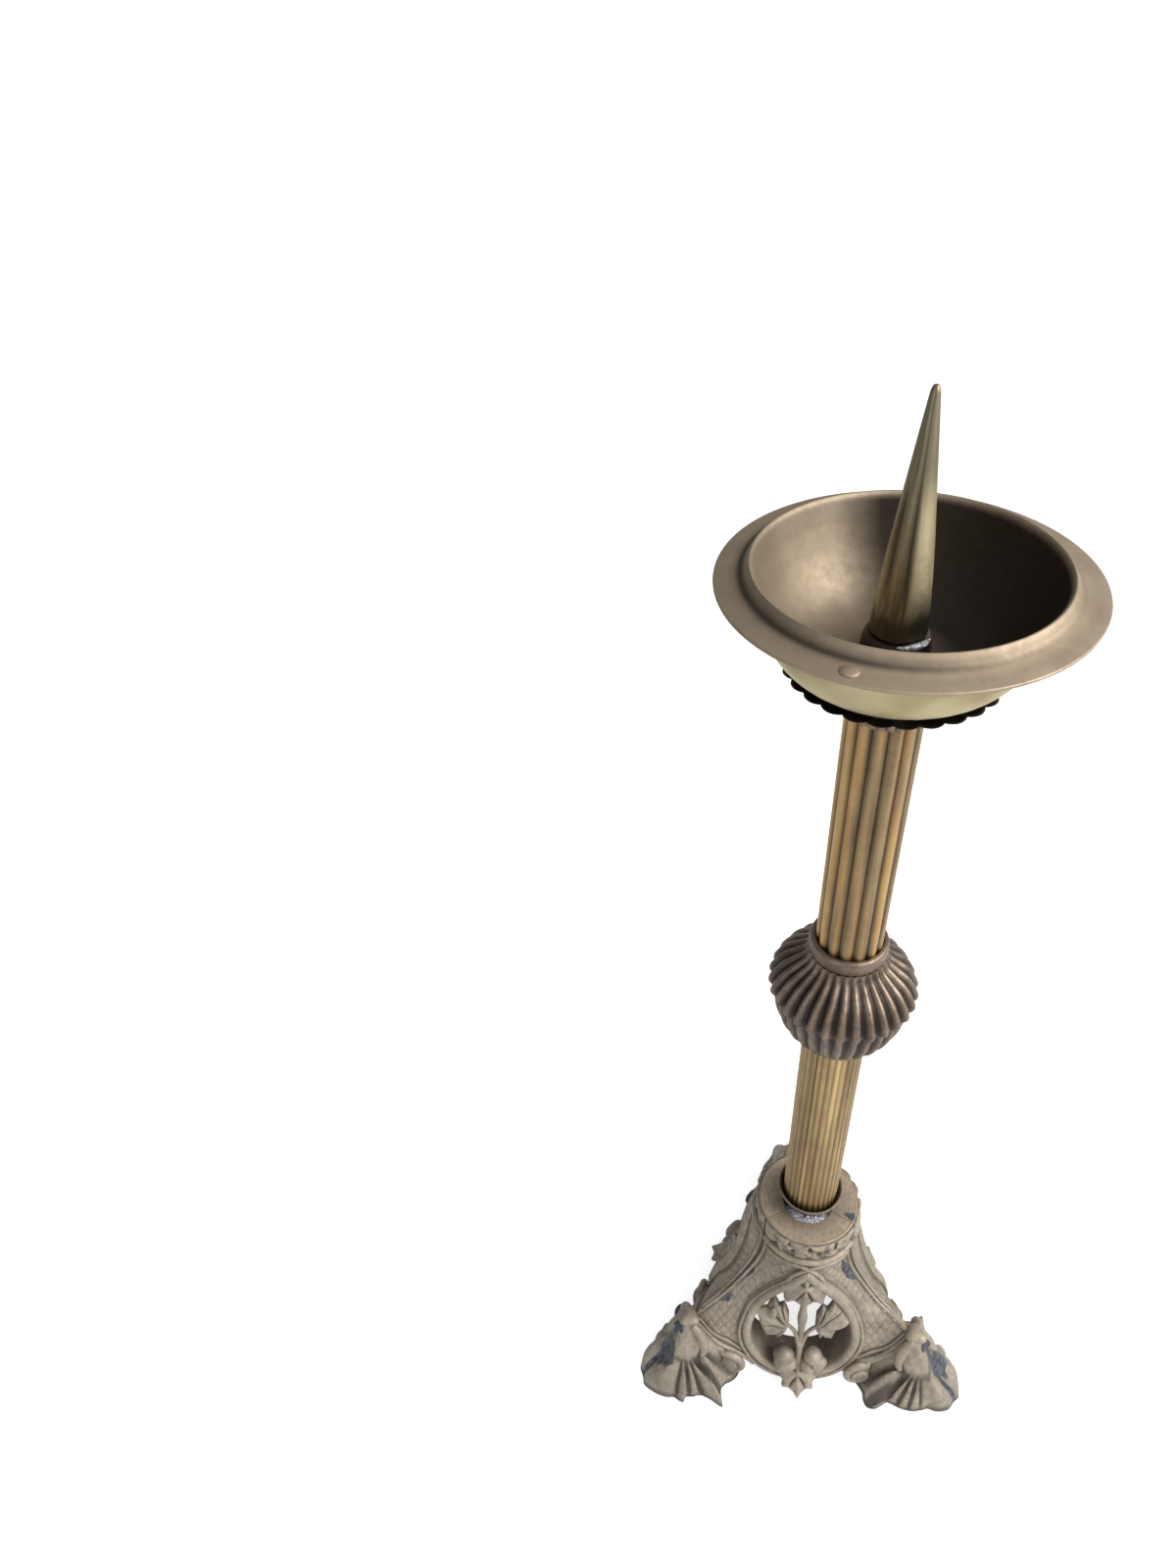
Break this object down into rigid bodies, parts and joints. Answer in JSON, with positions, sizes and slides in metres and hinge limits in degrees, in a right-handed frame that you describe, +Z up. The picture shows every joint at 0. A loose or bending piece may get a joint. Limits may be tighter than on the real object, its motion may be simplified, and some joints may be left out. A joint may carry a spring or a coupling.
{
  "type": "pricket candle stand",
  "caption": "Tall brass candle stand with an openwork three-footed base, reeded column, pleated knop, drip pan and spike for a thick candle.",
  "frame": {"origin": "the point on the floor under the stand's axis", "axes": "+Z up along the column; -Y is the way the front face looks; +X to its right"},
  "size_m": [0.1966, 0.1802, 0.6],
  "materials": {
    "cast_brass": "dull cast brass, grey-brown patina with dark recesses",
    "seam_solder": "dull blue-grey soft solder",
    "bright_solder": "bright silvery soft solder",
    "spacer_copper": "tarnished copper",
    "lower_tube_brass": "worn golden brass with dark flutes",
    "upper_tube_brass": "brass stained copper, green and brown",
    "dark_brass": "dark brown patinated sheet brass",
    "pan_brass": "satin olive-brown brass",
    "pricket_brass": "worn brass with dark streaks",
    "hardware_steel": "plain steel, lightly tarnished"
  },
  "bodies": {
    "root": {"base_face_front": "cast_brass", "base_face_right": "cast_brass", "base_face_left": "cast_brass", "corner_solder": "seam_solder", "base_washer": "hardware_steel", "base_nut": "hardware_steel", "socket_spacer": "spacer_copper", "socket_solder": "bright_solder", "socket_cup": "cast_brass", "lower_tube": "lower_tube_brass", "lower_tube_foot_disc": "hardware_steel", "lower_tube_top_disc": "hardware_steel", "knop_lower_shell": "dark_brass", "knop_upper_shell": "dark_brass", "knop_collar": "dark_brass", "knop_sleeve": "hardware_steel", "upper_tube": "upper_tube_brass", "upper_tube_foot_disc": "hardware_steel", "upper_tube_top_disc": "hardware_steel", "crown_cup": "dark_brass", "pan_support": "pan_brass", "drip_pan": "pan_brass", "pan_rivet": "pan_brass", "pricket_collar": "pan_brass", "pricket": "pricket_brass", "tie_rod": "hardware_steel"}
  },
  "joints": []
}
